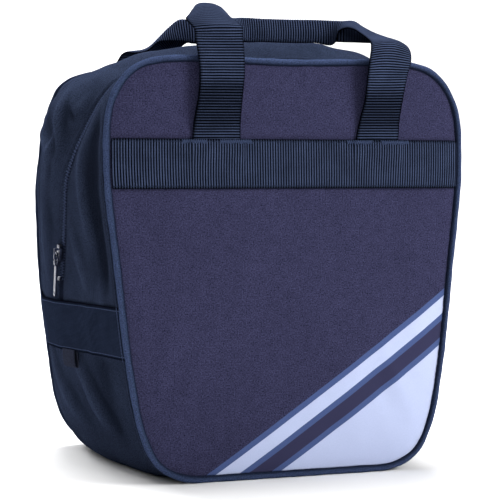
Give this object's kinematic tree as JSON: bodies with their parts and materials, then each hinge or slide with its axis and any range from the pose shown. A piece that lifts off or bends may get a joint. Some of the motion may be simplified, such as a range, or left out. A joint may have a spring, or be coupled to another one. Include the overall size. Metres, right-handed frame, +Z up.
{
  "type": "bowling ball bag",
  "caption": "Soft upright fabric bag for one bowling ball, with corded seams, a zip over the top, webbing bands and folded-grip carry handles.",
  "frame": {"origin": "middle of the base on the floor, halfway along the front seam's width", "axes": "+Z up, +X to the right seen from the front, the front panel faces -Y"},
  "size_m": [0.317, 0.2356, 0.3737],
  "materials": {
    "panel_fabric": "matt woven polyester, dark purple-navy",
    "body_fabric": "matt woven polyester, blue-black",
    "piping": "fabric-covered cord, slight sheen",
    "webbing": "ribbed polypropylene webbing, slight sheen",
    "zip_tape": "knitted tape with a nylon coil",
    "zip_metal": "black nickel plate",
    "board": "matt black board",
    "foam": "fabric-covered foam",
    "seam_binding": "ribbed grosgrain binding"
  },
  "bodies": {
    "root": {"front_panel_lower": "panel_fabric", "rear_panel": "body_fabric", "base_gusset": "body_fabric", "rear_gusset": "body_fabric", "gusset_fold_left": "body_fabric", "gusset_fold_right": "body_fabric", "front_piping_lower": "piping", "rear_piping": "piping", "rear_band": "webbing", "side_band_left": "webbing", "side_band_right": "webbing", "pull_tab_left": "webbing", "pull_tab_right": "webbing", "rear_zip_tape": "zip_tape", "zip_stop_left": "zip_metal", "zip_stop_right": "zip_metal", "base_board": "board", "ball_cup": "foam", "front_seam_binding_lower": "seam_binding", "rear_seam_binding": "seam_binding"},
    "front_flap": {"front_panel_upper": "panel_fabric", "front_piping_upper": "piping", "front_gusset": "body_fabric", "front_zip_tape": "zip_tape", "front_band": "webbing", "front_seam_binding_upper": "seam_binding"},
    "front_handle": {"front_handle": "webbing"},
    "rear_handle": {"rear_handle": "webbing"},
    "zip_slider": {"zip_slider": "zip_metal"},
    "slider_ring": {"slider_ring": "zip_metal"},
    "zip_pull": {"zip_pull": "zip_metal"}
  },
  "joints": [
    {"name": "mouth_open", "type": "hinge", "parent": "root", "child": "front_flap", "pos_m": [0, -0.115, 0.13677], "axis": [1, 0, 0], "range_deg": [0, 50]},
    {"name": "front_handle_swing", "type": "hinge", "parent": "front_flap", "child": "front_handle", "pos_m": [0.0075, -0.1125, 0.26377], "axis": [1, 0, 0], "range_deg": [0, 165]},
    {"name": "rear_handle_swing", "type": "hinge", "parent": "root", "child": "rear_handle", "pos_m": [0.0105, 0.1165, 0.26377], "axis": [-1, 0, 0], "range_deg": [0, 165]},
    {"name": "zip_travel", "type": "slide", "parent": "root", "child": "zip_slider", "axis": [-0.042, -0.3054, 0.9513], "range_m": [0, 0.05]},
    {"name": "ring_swing", "type": "hinge", "parent": "zip_slider", "child": "slider_ring", "pos_m": [-0.15533, 0.00298, 0.17248], "axis": [-0.0135, 0.9522, 0.3051], "range_deg": [0, 100]},
    {"name": "pull_swing", "type": "hinge", "parent": "slider_ring", "child": "zip_pull", "pos_m": [-0.155, 0.00541, 0.16491], "axis": [-0.0135, 0.9522, 0.3051], "range_deg": [0, 68]}
  ]
}
